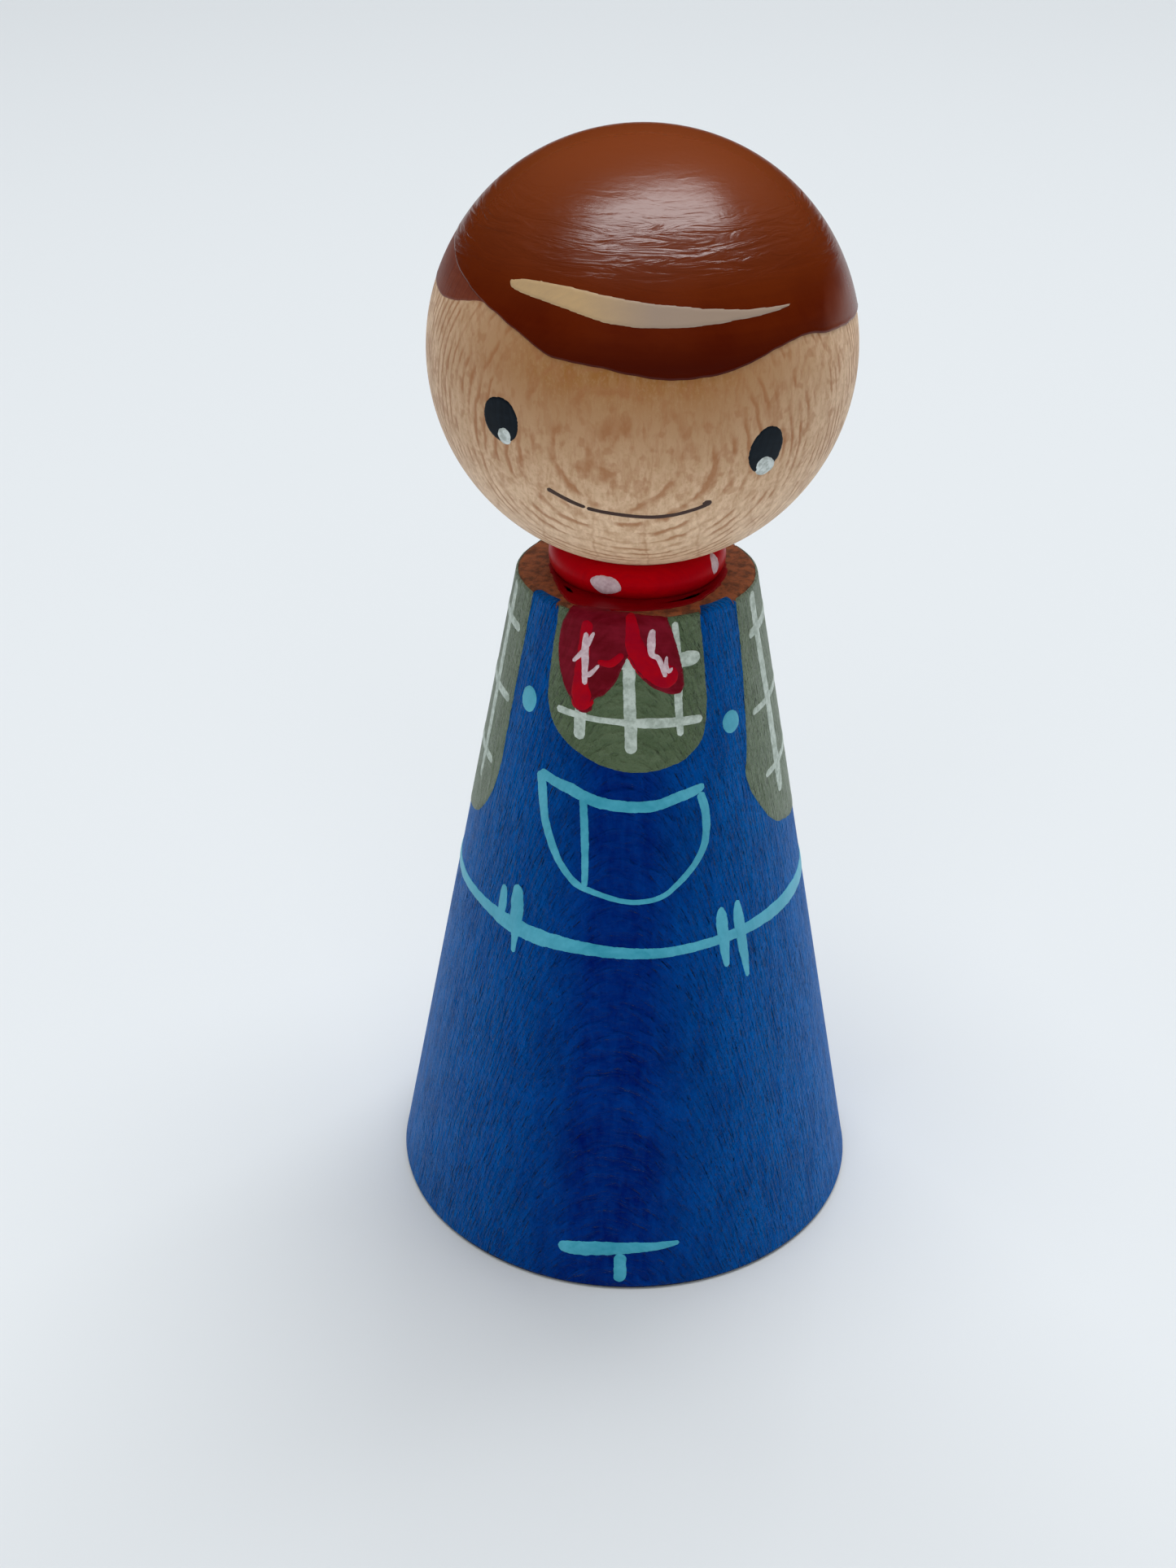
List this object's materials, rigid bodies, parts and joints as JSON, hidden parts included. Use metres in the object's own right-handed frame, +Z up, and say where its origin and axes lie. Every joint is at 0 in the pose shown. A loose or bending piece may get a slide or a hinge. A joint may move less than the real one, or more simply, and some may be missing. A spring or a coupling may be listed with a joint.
{
  "type": "painted wooden peg doll",
  "caption": "Turned wooden peg doll with a ball head, a neck collar and a straight cone body, hand painted as a child in dungarees with a neckerchief.",
  "frame": {"origin": "middle of the flat base, on the surface that the doll stands on", "axes": "+Z up along the turning axis; the painted front faces -Y, and +X is at the right of someone who looks at the front"},
  "size_m": [0.04, 0.04, 0.09],
  "materials": {
    "painted_body": "satin royal blue acrylic paint over turned beech",
    "painted_collar": "satin red acrylic paint over turned beech",
    "beech_head": "sanded pale beech, clear sealed, with painted hair",
    "dowel_beech": "bare fluted beech"
  },
  "bodies": {
    "root": {"body_cone": "painted_body", "neck_collar": "painted_collar", "head_ball": "beech_head", "neck_dowel": "dowel_beech"}
  },
  "joints": []
}
